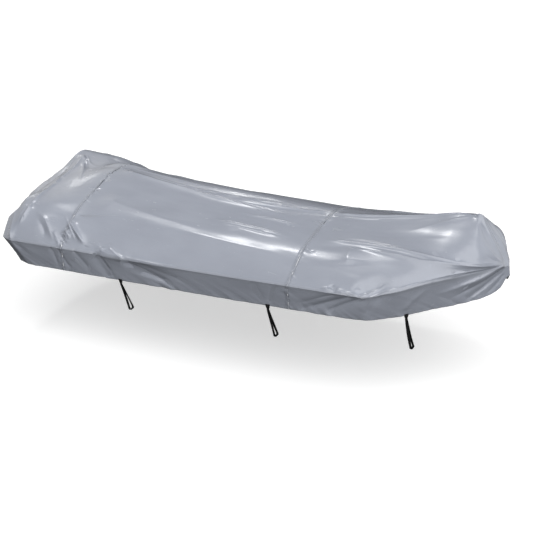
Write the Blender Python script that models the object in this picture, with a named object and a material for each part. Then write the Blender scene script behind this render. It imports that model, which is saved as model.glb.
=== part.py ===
"""Fitted boat cover in its worn shape: three sewn panels of coated cloth and six webbing tie-downs.

Metres. +X is the bow, +Y is port, +Z is up. The origin is on the underside of the cloth, at the
middle of the top, where whatever the cover is fitted over carries it.

The cover is described by cross sections. Each section runs from the starboard hem over the crown to
the port hem. A place on the cloth is (at, girth): "at" runs from the stern hem to the nose, and
"girth" counts the lines that every section crosses, from 0 on the crown to 5 on the port hem, and
to -5 on the starboard hem. Heights in the tables are measured from the hem.
"""
import math
from collections import namedtuple

import bmesh
import bpy
import numpy as np
from mathutils import Vector

# Driving dimensions.
CLOTH = 0.0025              # thickness of the coated cloth
GAP = 0.0003                # clearance between neighbouring pieces
SEAM_RISE = 0.003           # how far a felled seam stands proud
SEAM_WIDTH = 0.015          # width of its raised band on each side
STERN_SEAM = -1.31          # where the panels are joined
BOW_SEAM = 0.59
TIE_PLACES = (-0.80, 0.42, 1.47)
TAB_WIDTH = 0.034
TAB_ABOVE_HEM = 0.014
TAB_BELOW_HEM = 0.026
TAB_THICK = 0.004
TAB_CLEAR = 0.0006          # clearance between a tab and the cloth, which is not quite flat
TAB_ROOM = 0.022            # no other row of the grid comes closer than this to a tab's edge
WEBBING = 0.020             # width of a strap
STRAP_THICK = 0.0025
RAIL_WIDTH = 0.050          # the rail that a strap goes round
RAIL_DROP = 0.288           # height of the rail's underside below the level hem
RAIL_INBOARD = 0.118        # how far inboard of the neck its outer face lies
RAIL_CORNER = 0.008
NECK_RADIUS = 0.0022        # where the two legs of a strap meet
NOSE_FADE = 0.06            # the folds flatten out over this length before the nose
NOSE_ROWS = (1.97, 1.99, 2.008, 2.02)
STEM_TILT = math.radians(55)    # how far the cloth at the top of the nose faces upwards
PANEL_ROWS = (20, 25, 25)       # evenly spaced rows of the grid on each panel
SHARP_EDGE = math.radians(50)

# The girth of each line that all sections cross. Halfway between edge and tube, and between tube and
# crown, the cloth has one more point of its own.
HEM, EDGE, TUBE, CROWN = 5, 4, 2, 0
SKIRT_STEPS, SIDE_STEPS, DECK_STEPS = 3, 6, 7
BEND_STEPS, LEG_STEPS = 4, 4

# One row for each cross section. The crown line is on the centre. The tube line is the shoulder on
# each side, and the edge is the crease above the upright skirt. side and deck say how full the cloth
# is between those lines, skew shifts the port side forward, and drop lowers it.
Section = namedtuple("Section", "at crown_x crown_z tube_x tube_y tube_z edge_x edge_y edge_z "
                                "hem_x hem_y hem_z side deck skew drop")
SECTIONS = [Section(*row) for row in (
    # at   crown x,z       tube x,y,z            edge x,y,z            hem x,y,z             side   deck  skew   drop
    (-2.50, -1.97, .000, -1.94, .500, .000, -1.88, .640, .000, -1.76, .740, .000, .000, .000, -.03, .000),
    (-2.38, -2.01, .140, -1.98, .520, .140, -1.90, .690, .090, -1.73, .770, .000, .010, .000, -.03, .000),
    (-2.26, -2.03, .270, -2.00, .540, .280, -1.89, .760, .165, -1.69, .800, .000, .025, .000, -.05, -.030),
    (-2.14, -1.97, .372, -1.94, .550, .365, -1.83, .830, .185, -1.65, .820, .000, .018, .004, -.08, -.055),
    (-1.98, -1.86, .412, -1.86, .600, .425, -1.75, .870, .188, -1.61, .835, .000, .034, .000, -.13, -.060),
    (-1.70, -1.62, .480, -1.62, .630, .420, -1.60, .875, .190, -1.55, .840, .000, .030, .010, -.05, -.030),
    (-1.31, -1.31, .570, -1.31, .650, .397, -1.31, .875, .192, -1.31, .840, .000, .022, .022, .00, .000),
    (-0.60, -0.60, .545, -0.60, .640, .385, -0.60, .875, .188, -0.60, .840, .000, .012, .024, .00, .035),
    (0.10, 0.10, .510, 0.10, .630, .375, 0.10, .875, .192, 0.10, .840, .002, .006, .026, .00, .045),
    (0.59, 0.59, .490, 0.59, .620, .365, 0.59, .875, .200, 0.59, .840, .008, .002, .022, .00, .045),
    (0.90, 0.90, .505, 0.89, .600, .372, 0.89, .875, .203, 0.89, .835, .008, .006, .012, .00, .035),
    (1.15, 1.15, .535, 1.15, .570, .385, 1.15, .865, .205, 1.14, .810, .008, .010, .000, .00, .020),
    (1.40, 1.40, .575, 1.42, .510, .395, 1.36, .765, .240, 1.35, .690, .020, .010, .005, .00, .000),
    (1.60, 1.58, .612, 1.62, .440, .400, 1.58, .570, .285, 1.56, .510, .050, .005, .015, .00, .000),
    (1.78, 1.735, .637, 1.79, .330, .400, 1.76, .390, .305, 1.75, .350, .075, .000, .025, .00, .000),
    (1.88, 1.80, .535, 1.875, .220, .380, 1.87, .245, .310, 1.87, .220, .095, .000, .030, .00, .000),
    (1.95, 1.87, .425, 1.93, .110, .345, 1.935, .125, .305, 1.94, .110, .130, .000, .020, .00, .000),
    (2.00, 1.935, .320, 1.955, .030, .300, 1.965, .036, .285, 1.975, .030, .200, .000, .000, .00, .000),
    (2.02, 1.950, .300, 1.965, .000, .292, 1.975, .000, .280, 1.985, .000, .205, .000, .000, .00, .000),
)]

# One row for each main fold: three places that its crest passes, its half width, its rise (a trough
# where that is negative), how blunt its crest is (2 is round, 1 is a crease), and how much of its
# length fades in and out.
Fold = namedtuple("Fold", "at_a girth_a at_b girth_b at_c girth_c width rise blunt fade_in fade_out")
FOLDS = [Fold(*row) for row in (
    # stern
    (-1.97, 1.75, -1.94, -0.20, -1.99, -2.20, .035, .016, 1.2, .10, .25),
    (-2.07, 1.60, -2.03, -0.20, -2.07, -2.00, .050, -.012, 2.0, .20, .20),
    (-1.96, 1.55, -1.85, 0.85, -1.69, -0.25, .040, .014, 1.3, .05, .80),
    (-1.87, -2.10, -1.92, -2.75, -1.96, -3.50, .035, .010, 1.3, .20, .50),
    (-2.10, -2.30, -2.06, -3.20, -1.99, -4.05, .030, .012, 1.3, .20, .20),
    (-1.78, -2.50, -1.55, -2.80, -1.40, -3.75, .060, .014, 1.8, .30, .40),
    (-1.66, -3.60, -1.56, -3.20, -1.50, -2.60, .080, -.012, 2.0, .50, .50),
    (-1.88, 2.20, -1.78, 2.90, -1.80, 3.70, .050, .012, 1.5, .30, .50),
    (-1.64, 2.30, -1.50, 2.90, -1.42, 3.80, .060, .012, 1.8, .40, .40),
    (-2.20, 0.60, -2.32, 0.80, -2.46, 0.70, .060, .014, 1.8, .40, .20),
    (-2.18, -0.90, -2.32, -0.60, -2.46, -0.80, .060, .014, 1.8, .40, .20),
    # middle
    (-1.24, -1.32, -0.50, -1.85, 0.52, -2.15, .110, .014, 2.0, .15, .40),
    (-1.26, 0.05, -0.40, -0.48, 0.50, -0.60, .045, .010, 1.5, .20, .30),
    (-0.60, -0.22, -0.10, -0.30, 0.40, -0.02, .035, .009, 1.5, .30, .30),
    (-0.22, -1.34, 0.10, -1.44, 0.50, -1.50, .040, .009, 1.5, .40, .40),
    (-1.30, -2.65, -1.22, -3.05, -1.08, -3.68, .030, .014, 1.3, .05, .45),
    (-1.04, -3.90, -0.96, -4.35, -0.90, -4.95, .045, -.012, 1.7, .30, .00),
    (-0.78, -4.00, -0.60, -4.38, -0.34, -4.90, .050, -.013, 1.7, .25, .20),
    (-0.93, -3.60, -0.82, -3.90, -0.45, -3.97, .035, .010, 1.4, .30, .60),
    (-1.20, 1.40, -0.50, 1.75, 0.45, 1.95, .100, .012, 2.0, .20, .40),
    (-0.95, 3.90, -0.80, 4.30, -0.60, 4.90, .050, -.012, 1.7, .30, .10),
    (0.05, 3.95, 0.18, 4.40, 0.36, 4.90, .050, -.012, 1.7, .30, .10),
    # bow
    (0.66, -1.40, 1.30, -1.62, 1.97, -3.20, .035, .018, 1.3, .30, .10),
    (0.84, -1.62, 1.30, -1.85, 1.97, -3.50, .030, .013, 1.3, .35, .10),
    (0.60, -0.04, 1.15, -0.10, 1.76, -0.02, .045, .012, 1.4, .10, .05),
    (1.74, -0.15, 1.50, -0.45, 1.18, -0.85, .045, .012, 1.6, .10, .60),
    (1.76, 0.00, 1.88, -0.02, 2.00, 0.00, .030, .014, 1.2, .05, .10),
    (1.06, -3.70, 1.21, -3.60, 1.36, -3.20, .075, -.022, 2.0, .40, .40),
    (1.12, -3.98, 0.93, -4.40, 0.66, -4.95, .040, -.013, 1.6, .20, .10),
    (1.24, -4.02, 1.05, -4.40, 0.90, -4.95, .040, -.012, 1.6, .25, .10),
    (1.99, -3.90, 1.86, -4.24, 1.62, -4.55, .028, .014, 1.3, .10, .50),
    (1.99, -4.20, 1.90, -4.52, 1.79, -4.95, .030, -.012, 1.5, .15, .10),
    (0.66, 1.40, 1.25, 1.60, 1.97, 3.20, .035, .016, 1.3, .30, .10),
    (1.10, 3.70, 1.24, 3.60, 1.38, 3.20, .075, -.018, 2.0, .40, .40),
    (1.99, 3.90, 1.86, 4.24, 1.62, 4.55, .030, .013, 1.3, .10, .50),
    (1.20, 4.02, 1.00, 4.40, 0.82, 4.95, .040, -.012, 1.6, .25, .10),
)]

CLOTH_COLOUR = (0.42, 0.44, 0.47)
WEBBING_COLOUR = (0.012, 0.012, 0.013)


def clear_scene():
    for old in list(bpy.data.objects):
        bpy.data.objects.remove(old, do_unlink=True)


def material(name, colour, roughness):
    mat = bpy.data.materials.new(name)
    mat.use_nodes = True
    shader = mat.node_tree.nodes["Principled BSDF"]
    shader.inputs["Base Color"].default_value = (*colour, 1.0)
    shader.inputs["Roughness"].default_value = roughness
    shader.inputs["Metallic"].default_value = 0.0
    return mat


def hermite(knots, values, tangents, places):
    """Read a cubic curve, given by its values and tangents at the knots, at other places."""
    gaps = np.diff(knots)
    k = np.clip(np.searchsorted(knots, places) - 1, 0, len(gaps) - 1)
    gap = gaps[k][:, None]
    t = ((places - knots[k]) / gaps[k])[:, None]
    return (values[k] * (1 + 2 * t) * (1 - t) ** 2 + tangents[k] * gap * t * (1 - t) ** 2
            + values[k + 1] * t * t * (3 - 2 * t) + tangents[k + 1] * gap * t * t * (t - 1))


def monotone_tangents(knots, values):
    """Tangents that never overshoot the values, for the lines that run along the boat."""
    gaps = np.diff(knots)[:, None]
    slopes = np.diff(values, axis=0) / gaps
    tangents = np.zeros_like(values)
    before, after = slopes[:-1], slopes[1:]
    weight_a = 2 * gaps[1:] + gaps[:-1]
    weight_b = gaps[1:] + 2 * gaps[:-1]
    same_way = before * after > 0
    safe_before = np.where(same_way, before, 1.0)
    safe_after = np.where(same_way, after, 1.0)
    mean = (weight_a + weight_b) / (weight_a / safe_before + weight_b / safe_after)
    tangents[1:-1] = np.where(same_way, mean, 0.0)
    tangents[0], tangents[-1] = slopes[0], slopes[-1]
    return tangents


def smooth_tangents(knots, values):
    """Tangents of a smooth arch, for the line that runs over the boat."""
    gaps = np.diff(knots)[:, None]
    slopes = np.diff(values, axis=0) / gaps
    tangents = np.zeros_like(values)
    tangents[1:-1] = (slopes[:-1] * gaps[1:] + slopes[1:] * gaps[:-1]) / (gaps[:-1] + gaps[1:])
    tangents[0], tangents[-1] = slopes[0], slopes[-1]
    return tangents


def between(low, high, fullness):
    """The middle of two points, pushed out square to the line that joins them."""
    run = high - low
    out = np.array([0.0, run[2], -run[1]])
    return (low + high) / 2 + fullness * out / max(np.linalg.norm(out), 1e-9)


def section_curve(section, girths):
    """Points of one cross section at the given girths."""
    crown = np.array([section.crown_x, 0.0, section.crown_z])
    tube = np.array([section.tube_x, section.tube_y, section.tube_z])
    edge = np.array([section.edge_x, section.edge_y, section.edge_z])
    hem = np.array([section.hem_x, section.hem_y, section.hem_z])
    port = [edge, between(edge, tube, section.side), tube, between(tube, crown, section.deck)]
    starboard = np.array([1.0, -1.0, 1.0])
    arch = np.array([p * starboard for p in port] + [crown] + port[::-1])
    chords = np.linalg.norm(np.diff(arch, axis=0), axis=1)
    knots = np.concatenate([[0.0], np.cumsum(np.maximum(chords, 1e-6))])
    inner = np.interp(np.clip(girths, -EDGE, EDGE), np.arange(-EDGE, EDGE + 1), knots)
    points = hermite(knots, arch, smooth_tangents(knots, arch), inner)
    skirt = np.clip(np.abs(girths) - EDGE, 0.0, 1.0)[:, None]
    points = points + skirt * (hem - edge) * np.where(girths < 0, starboard[:, None], 1.0).T
    height = (points[:, 2] - section.edge_z) / max(section.tube_z - section.edge_z, 0.05)
    points[:, 0] += section.skew * points[:, 1] * np.clip(height, 0.0, 1.0)
    points[:, 2] -= section.drop * np.sin(np.pi * np.clip(girths, 0.0, EDGE) / EDGE)
    return points


def smooth_cover(ats, girths):
    """The unfolded shape of the cloth's outer face, as a grid of points."""
    table = np.array(SECTIONS)
    rows = hermite(table[:, 0], table, monotone_tangents(table[:, 0], table), np.asarray(ats))
    return np.array([section_curve(Section(*row), np.asarray(girths)) for row in rows])


def fold_path(fold, steps=24):
    """Points along a fold's crest: a smooth bend through its three places."""
    t = np.linspace(0.0, 1.0, steps)
    first, middle, last = 2 * (t - 0.5) * (t - 1), 4 * t * (1 - t), 2 * t * (t - 0.5)
    ats = first * fold.at_a + middle * fold.at_b + last * fold.at_c
    girths = first * fold.girth_a + middle * fold.girth_b + last * fold.girth_c
    return np.array([smooth_cover([at], [girth])[0, 0] for at, girth in zip(ats, girths)])


def unit(vector):
    return vector / np.linalg.norm(vector)


def ease(amount):
    amount = np.clip(amount, 0.0, 1.0)
    return amount * amount * (3 - 2 * amount)


def fold_height(fold, points):
    """How far a fold lifts each of the points."""
    path = fold_path(fold)
    nearest = np.full(len(points), np.inf)
    along = np.zeros(len(points))
    for index, (start, end) in enumerate(zip(path[:-1], path[1:])):
        run = end - start
        t = np.clip((points - start) @ run / max(run @ run, 1e-12), 0.0, 1.0)
        distance = np.linalg.norm(points - start - t[:, None] * run, axis=1)
        closer = distance < nearest
        nearest[closer] = distance[closer]
        along[closer] = (index + t[closer]) / (len(path) - 1)
    fade = ease(along / max(fold.fade_in, 1e-6)) * ease((1 - along) / max(fold.fade_out, 1e-6))
    return fold.rise * fade * np.exp(-(nearest / fold.width) ** fold.blunt)


def outward_normals(points):
    """Unit normals of the grid, pointing away from the boat."""
    along = np.gradient(points, axis=0)
    across = np.gradient(points, axis=1)
    normals = np.cross(along, across)
    normals /= np.maximum(np.linalg.norm(normals, axis=2, keepdims=True), 1e-9)
    return normals


def folded_cover(ats, girths):
    """Outer and inner face of the whole cloth, folds and seams included."""
    flat = smooth_cover(ats, girths)
    normals = outward_normals(flat)
    lift = np.zeros(flat.shape[:2])
    for fold in FOLDS:
        lift += fold_height(fold, flat.reshape(-1, 3)).reshape(lift.shape)
    lift *= ease((ats[-1] - ats) / NOSE_FADE)[:, None]
    for seam in (STERN_SEAM, BOW_SEAM):
        lift += SEAM_RISE * np.clip(1 - np.abs(ats - seam) / SEAM_WIDTH, 0.0, 1.0)[:, None]
    outer = flat + lift[..., None] * normals
    outer[-1, :, 1] = 0.0

    normals = outward_normals(outer)
    for seam in (STERN_SEAM, BOW_SEAM):
        pair = np.abs(ats - seam) < GAP
        normals[pair] = normals[pair].mean(axis=0)
        normals[pair, :, 0] = 0.0
    tilt = STEM_TILT * np.clip(1 - np.abs(girths) / EDGE, 0.0, 1.0)
    normals[-1] = np.stack([np.cos(tilt), np.zeros_like(tilt), np.sin(tilt)], axis=1)
    normals /= np.linalg.norm(normals, axis=2, keepdims=True)
    return outer, outer - CLOTH * normals


def station_rows():
    """Where the rows of the grid lie, with the seams and the edges of the tabs among them."""
    starts = (SECTIONS[0].at, STERN_SEAM + SEAM_WIDTH, BOW_SEAM + SEAM_WIDTH)
    ends = (STERN_SEAM - SEAM_WIDTH, BOW_SEAM - SEAM_WIDTH, NOSE_ROWS[0])
    even = [at for start, end, count in zip(starts, ends, PANEL_ROWS)
            for at in np.linspace(start, end, count)]
    seams = [seam + side * GAP / 2 for seam in (STERN_SEAM, BOW_SEAM) for side in (-1, 1)]
    tabs = [edge for place in TIE_PLACES for edge in tab_edges(place)]
    plain = [at for at in even if all(abs(at - tab) > TAB_ROOM for tab in tabs)]
    return np.array(sorted([*plain, *seams, *tabs, *NOSE_ROWS[1:]]))


def girth_columns():
    """Where the columns of the grid lie, closer together over the side and the skirt."""
    skirt = np.linspace(HEM, EDGE, SKIRT_STEPS + 1)[:-1]
    side = np.linspace(EDGE, TUBE, SIDE_STEPS + 1)[:-1]
    deck = np.linspace(TUBE, CROWN, DECK_STEPS + 1)
    half = np.concatenate([skirt, side, deck])
    return np.concatenate([-half, half[-2::-1]])


def mesh_data(name, mesh):
    """Turn a finished bmesh into mesh data with its faces pointing out."""
    bmesh.ops.recalc_face_normals(mesh, faces=mesh.faces)
    data = bpy.data.meshes.new(name)
    mesh.to_mesh(data)
    mesh.free()
    return data


def halves(quad, points):
    """The two triangles of a quad, split along its shorter diagonal."""
    a, b, c, d = quad
    if np.linalg.norm(points[a] - points[c]) < np.linalg.norm(points[b] - points[d]):
        return (a, b, c), (a, c, d)
    return (a, b, d), (b, c, d)


def panel_mesh(name, outer, inner, closed_nose):
    """A closed sheet between its outer and inner face, which are split into triangles alike."""
    rows, columns = outer.shape[:2]
    mesh = bmesh.new()

    def add_points(points):
        """One face's points. At the nose its port and starboard halves share theirs."""
        grid = [[mesh.verts.new(points[i, j]) for j in range(columns)] for i in range(rows)]
        if closed_nose:
            for j in range(columns // 2):
                mesh.verts.remove(grid[-1][columns - 1 - j])
                grid[-1][columns - 1 - j] = grid[-1][j]
        return grid

    top, bottom = add_points(outer), add_points(inner)
    for i in range(rows - 1):
        for j in range(columns - 1):
            for triangle in halves([(i, j), (i + 1, j), (i + 1, j + 1), (i, j + 1)], outer):
                mesh.faces.new([top[a][b] for a, b in triangle])
                mesh.faces.new([bottom[a][b] for a, b in reversed(triangle)])
    border = [(i, 0) for i in range(rows - 1)]
    if closed_nose:
        border += [(rows - 1, 0)]
    else:
        border += [(rows - 1, j) for j in range(columns - 1)]
    border += [(i, columns - 1) for i in range(rows - 1, 0, -1) if not (closed_nose and i == rows - 1)]
    border += [(0, j) for j in range(columns - 1, 0, -1)]
    for (a, b), (c, d) in zip(border, border[1:] + border[:1]):
        mesh.faces.new([top[c][d], top[a][b], bottom[a][b], bottom[c][d]])
    return mesh_data(name, mesh)


def add_object(name, data, mat, smooth_angle=None):
    data.materials.append(mat)
    if smooth_angle is not None:
        data.shade_smooth()
        data.set_sharp_from_angle(angle=smooth_angle)
    obj = bpy.data.objects.new(name, data)
    bpy.context.scene.collection.objects.link(obj)
    return obj


def add_panels(outer, inner, ats, mat):
    spans = {
        "stern_panel": ats < STERN_SEAM,
        "middle_panel": (ats > STERN_SEAM) & (ats < BOW_SEAM),
        "bow_panel": ats > BOW_SEAM,
    }
    for name, rows in spans.items():
        data = panel_mesh(name, outer[rows], inner[rows], closed_nose=name == "bow_panel")
        add_object(name, data, mat, SHARP_EDGE)


def tab_edges(place):
    """Where the two edges of a tab lie, which are TAB_WIDTH apart along the hem."""
    step = 0.001
    behind, ahead = smooth_cover([place - step, place + step], [-HEM])[:, 0]
    half = TAB_WIDTH * step / np.linalg.norm(ahead - behind)
    return place - half, place + half


def hem_frame(outer, ats, place, column):
    """The hem under a tab: both its ends, the way up the skirt at each, and the way out."""
    aft = int(np.argmin(np.abs(ats - tab_edges(place)[0])))
    above = 1 if column == 0 else column - 1
    ends = outer[[aft, aft + 1], column]
    up = outer[[aft, aft + 1], above] - ends
    up /= np.linalg.norm(up, axis=1, keepdims=True)
    out = np.cross(ends[1] - ends[0], up.mean(axis=0))
    out *= np.sign(out[1] * ends[0][1]) / np.linalg.norm(out)
    return ends, up, out


def add_tab(name, ends, up, out, mat):
    """A short piece of webbing sewn over the hem. Returns its lower end's middle and direction."""
    low = ends - TAB_BELOW_HEM * up + TAB_CLEAR * out
    high = ends + TAB_ABOVE_HEM * up + TAB_CLEAR * out
    mesh = bmesh.new()
    near = [mesh.verts.new(corner) for corner in (low[0], low[1], high[1], high[0])]
    far = [mesh.verts.new(corner.co + Vector(TAB_THICK * out)) for corner in near]
    mesh.faces.new(near)
    mesh.faces.new(far[::-1])
    for k in range(4):
        nxt = (k + 1) % 4
        mesh.faces.new([near[nxt], near[k], far[k], far[nxt]])
    add_object(name, mesh_data(name, mesh), mat)
    return low.mean(axis=0) + out * TAB_THICK / 2, unit(low[1] - low[0])


def belt(circles):
    """Points and outward normals of a loop pulled tight round circles.

    The circles are pairs of a centre and a radius, in clockwise order.
    """
    points, normals = [], []
    leaving = []
    for (start, radius), (end, next_radius) in zip(circles, circles[1:] + circles[:1]):
        ahead = unit(end - start)
        left = np.array([-ahead[1], ahead[0]])
        lean = (radius - next_radius) / np.linalg.norm(end - start)
        leaving.append(lean * ahead + math.sqrt(1 - lean ** 2) * left)
    for k, (centre, radius) in enumerate(circles):
        next_centre, next_radius = circles[(k + 1) % len(circles)]
        first = math.atan2(leaving[k - 1][1], leaving[k - 1][0])
        turn = (first - math.atan2(leaving[k][1], leaving[k][0])) % (2 * math.pi)
        for step in range(BEND_STEPS + 1):
            angle = first - turn * step / BEND_STEPS
            normals.append(np.array([math.cos(angle), math.sin(angle)]))
            points.append(centre + radius * normals[-1])
        leg_start = points[-1]
        leg_end = next_centre + next_radius * leaving[k]
        for share in np.linspace(0.0, 1.0, LEG_STEPS + 1)[1:-1]:
            normals.append(leaving[k])
            points.append((1 - share) * leg_start + share * leg_end)
    return np.array(points), np.array(normals)


def add_strap(name, top, along, hem_z, mat):
    """A webbing strap that hangs under its tab and goes once round a rail.

    top is the middle of the tab's lower end, and along is that end's direction. The loop lies in a
    plane across the boat, worked out with its first axis pointing outboard and its second up. The
    webbing twists from the tab's direction at the neck to the rail's, which is along the boat.
    """
    side = math.copysign(1.0, top[1])
    neck = np.array([abs(top[1]), top[2] - GAP - STRAP_THICK / 2 - NECK_RADIUS])
    outboard = np.array([abs(top[1]) - RAIL_INBOARD - RAIL_CORNER, hem_z - RAIL_DROP + RAIL_CORNER])
    inboard = outboard - np.array([RAIL_WIDTH - 2 * RAIL_CORNER, 0.0])
    path, normals = belt([(neck, NECK_RADIUS), (outboard, RAIL_CORNER), (inboard, RAIL_CORNER)])
    upright, ahead = np.array([0.0, 0.0, 1.0]), np.array([1.0, 0.0, 0.0])
    mesh = bmesh.new()
    rings = [[], [], [], []]
    for (y, z), (out_part, up_part) in zip(path, normals):
        width = unit(ahead + ease((z - outboard[1]) / (neck[1] - outboard[1])) * (along - ahead))
        up = unit(upright - (upright @ width) * width)
        normal = up_part * up - side * out_part * np.cross(width, up)
        for ring, (grow, shift) in zip(rings, ((1, -1), (1, 1), (-1, 1), (-1, -1))):
            place = np.array([top[0], side * y, z])
            place += shift * WEBBING / 2 * width + grow * STRAP_THICK / 2 * normal
            ring.append(mesh.verts.new(place))
    for first, second in zip(rings, rings[1:] + rings[:1]):
        for k in range(len(path)):
            nxt = (k + 1) % len(path)
            mesh.faces.new([first[k], first[nxt], second[nxt], second[k]])
    add_object(name, mesh_data(name, mesh), mat)


def build():
    clear_scene()
    cloth = material("coated_cloth", CLOTH_COLOUR, 0.42)
    webbing = material("black_webbing", WEBBING_COLOUR, 0.75)
    ats, girths = station_rows(), girth_columns()
    outer, inner = folded_cover(ats, girths)

    centre = int(np.argmin(np.abs(girths)))
    top_inside = np.interp(0.0, inner[:, centre, 0], inner[:, centre, 2])
    to_origin = np.array([0.0, 0.0, -top_inside])
    outer, inner = outer + to_origin, inner + to_origin

    add_panels(outer, inner, ats, cloth)
    for number, place in enumerate(TIE_PLACES, start=1):
        for side, column in (("starboard", 0), ("port", len(girths) - 1)):
            ends, up, out = hem_frame(outer, ats, place, column)
            foot, along = add_tab(f"{side}_tab_{number}", ends, up, out, webbing)
            add_strap(f"{side}_strap_{number}", foot, along, -top_inside, webbing)


build()
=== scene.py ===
"""The boat cover's looks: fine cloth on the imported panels, stitching, webbing, light and camera.

Metres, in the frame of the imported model: +X is the bow, +Y is port, +Z is up. The cloth repeats the
cross sections and main folds of the part's source on a finer grid, with some lines fitted closer
to the photo, and adds the small creases, the puckers along the seams, the lap of each seam and the
turned hem. A place on the cloth is (at, girth): "at" runs from the stern hem to the nose, and
"girth" counts the lines that every section crosses, from 0 on the crown to 5 on the port hem, and
to -5 on the starboard hem.
"""
import math
from collections import namedtuple

import bpy
import numpy as np
from mathutils import Matrix, Vector


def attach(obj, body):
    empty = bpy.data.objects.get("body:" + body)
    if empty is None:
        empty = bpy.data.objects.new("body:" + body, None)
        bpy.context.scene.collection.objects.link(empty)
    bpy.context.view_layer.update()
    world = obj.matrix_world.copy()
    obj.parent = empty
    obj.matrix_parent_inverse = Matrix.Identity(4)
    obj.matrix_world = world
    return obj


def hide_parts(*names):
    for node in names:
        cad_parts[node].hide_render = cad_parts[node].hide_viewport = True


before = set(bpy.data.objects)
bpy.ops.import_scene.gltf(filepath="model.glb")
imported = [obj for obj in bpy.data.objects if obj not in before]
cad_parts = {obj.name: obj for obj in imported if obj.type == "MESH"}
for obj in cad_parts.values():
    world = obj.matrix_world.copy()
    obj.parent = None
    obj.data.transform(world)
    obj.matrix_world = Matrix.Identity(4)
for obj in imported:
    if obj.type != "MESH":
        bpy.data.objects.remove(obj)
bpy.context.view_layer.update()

# The cover, as in the part's source.
HEM_Z = -0.51244
CLOTH = 0.0012
GAP = 0.0003
TONGUE, TUCK = 0.010, 0.3      # how far a panel reaches under the next, and how deep into it
STERN_SEAM, BOW_SEAM = -1.31, 0.59
NOSE, NOSE_FADE = 2.02, 0.09
STEM_TILT = math.radians(55)
TIE_PLACES = (-0.80, 0.42, 1.47)
TAB_WIDTH = 0.034
TAB_ABOVE_HEM, TAB_BELOW_HEM = 0.014, 0.026
TAB_THICK, TAB_CLEAR = 0.004, 0.0006
# Down along a tab from the hem: the rows of its mesh, and its width, lie and thickness.
TAB_LAY, TAB_FULL = .0026, .0034
TAB_ROWS = (-TAB_ABOVE_HEM, -.0125, -.008, -.003, .002, .007, .012, .017, .021, .0243, .0258)
TAB_WIDTHS = ((-.02, .034), (.004, .0335), (.012, .029), (.02, .0235), (.026, .0205))
TAB_LIES = ((-TAB_ABOVE_HEM, .0016), (-.0125, .0024), (-.006, TAB_LAY), (.004, TAB_LAY),
            (.016, .0023), (.0258, .0022))
TAB_DEPTHS = ((-TAB_ABOVE_HEM, .0022), (-.0125, TAB_FULL), (.02, TAB_FULL), (.0258, .003))
# The corners that a tab's stitches join, along and up from the hem, and the stitches' sizes.
TAB_CORNERS = ((-.0125, .01), (.0125, .01), (.0105, -.005), (-.0105, -.005))
TAB_PITCH, TAB_STITCH, TAB_THREAD = .003, .0024, .00035
WEBBING = 0.020
STRAP_THICK, STRAP_CLOTH = 0.0025, .0019
RAIL_WIDTH, RAIL_DROP, RAIL_INBOARD = 0.050, 0.288, 0.118
RAIL_CORNER, NECK_RADIUS = 0.008, 0.0022
HEM, EDGE, TUBE = 5, 4, 2

Section = namedtuple("Section", "at crown_x crown_z tube_x tube_y tube_z edge_x edge_y edge_z "
                                "hem_x hem_y hem_z side deck skew drop")
Fold = namedtuple("Fold", "places width rise blunt fade_in fade_out")


def rows_of(table):
    """The lines of a table as lists of numbers, without its comments."""
    return [[float(word) for word in line.split()] for line in table.splitlines()
            if line and not line.startswith("#")]


SECTIONS = [Section(*row) for row in rows_of("""
#  at  crown x z     tube x y z       edge x y z       hem x y z side deck skew  drop
 -2.5 -1.97    0 -1.94  .5    0  -1.89  .64    0 -1.77  .74    0    0    0 -.03     0
-2.38 -2.01  .14 -1.98 .52  .14  -1.91  .69  .09 -1.75 .775    0  .01    0 -.03     0
-2.26 -2.03  .28    -2 .54  .28 -1.905 .765 .165 -1.71 .805    0 .025    0 -.05  -.03
-2.14 -1.97 .396 -1.94 .55 .365 -1.845 .832 .185 -1.67 .822    0 .018 .004 -.08 -.086
-1.98 -1.86 .444 -1.86  .6  .42 -1.765 .872 .188 -1.62 .837    0 .034    0 -.13 -.072
 -1.7 -1.62   .5 -1.62 .63  .42   -1.6 .875  .19 -1.55  .84    0  .03  .01 -.05  -.04
-1.31 -1.31  .57 -1.31 .65 .397  -1.31 .875 .192 -1.31  .84    0 .022 .022    0   .03
  -.6   -.6 .545   -.6 .64 .385    -.6 .875 .188   -.6  .84    0 .012 .024    0  .085
   .1    .1  .51    .1 .63 .375     .1 .875 .192    .1  .84 .002 .006 .026    0  .062
  .59   .59  .49   .59 .62 .365    .59 .875   .2   .59  .84 .008 .002 .022    0  .045
   .9    .9 .512   .89  .6 .372    .89 .875 .203   .89 .835 .008 .006 .012    0  .025
 1.15  1.15 .545  1.15 .57 .385   1.15 .865 .205  1.14  .81 .008  .01    0    0   .02
  1.4   1.4 .585  1.42 .51 .395   1.36 .765  .24  1.35  .69  .02  .01 .005    0     0
  1.6  1.58 .617  1.62 .44   .4   1.58  .57 .285  1.56  .51  .05 .005 .015    0     0
 1.78  1.73 .628  1.79 .33   .4   1.76  .39 .305  1.75  .35 .075    0 .025    0     0
 1.88   1.8 .535 1.875 .22  .38   1.87 .245  .31  1.87  .22 .095    0  .03    0     0
 1.95  1.87 .425  1.93 .11 .345  1.935 .125 .305  1.94  .11  .13    0  .02    0     0
    2 1.935  .32 1.955 .03   .3  1.965 .036 .285 1.975  .03   .2    0    0    0     0
 2.02  1.95   .3 1.965   0 .292  1.975    0  .28 1.985    0 .205    0    0    0     0
""")]

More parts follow.
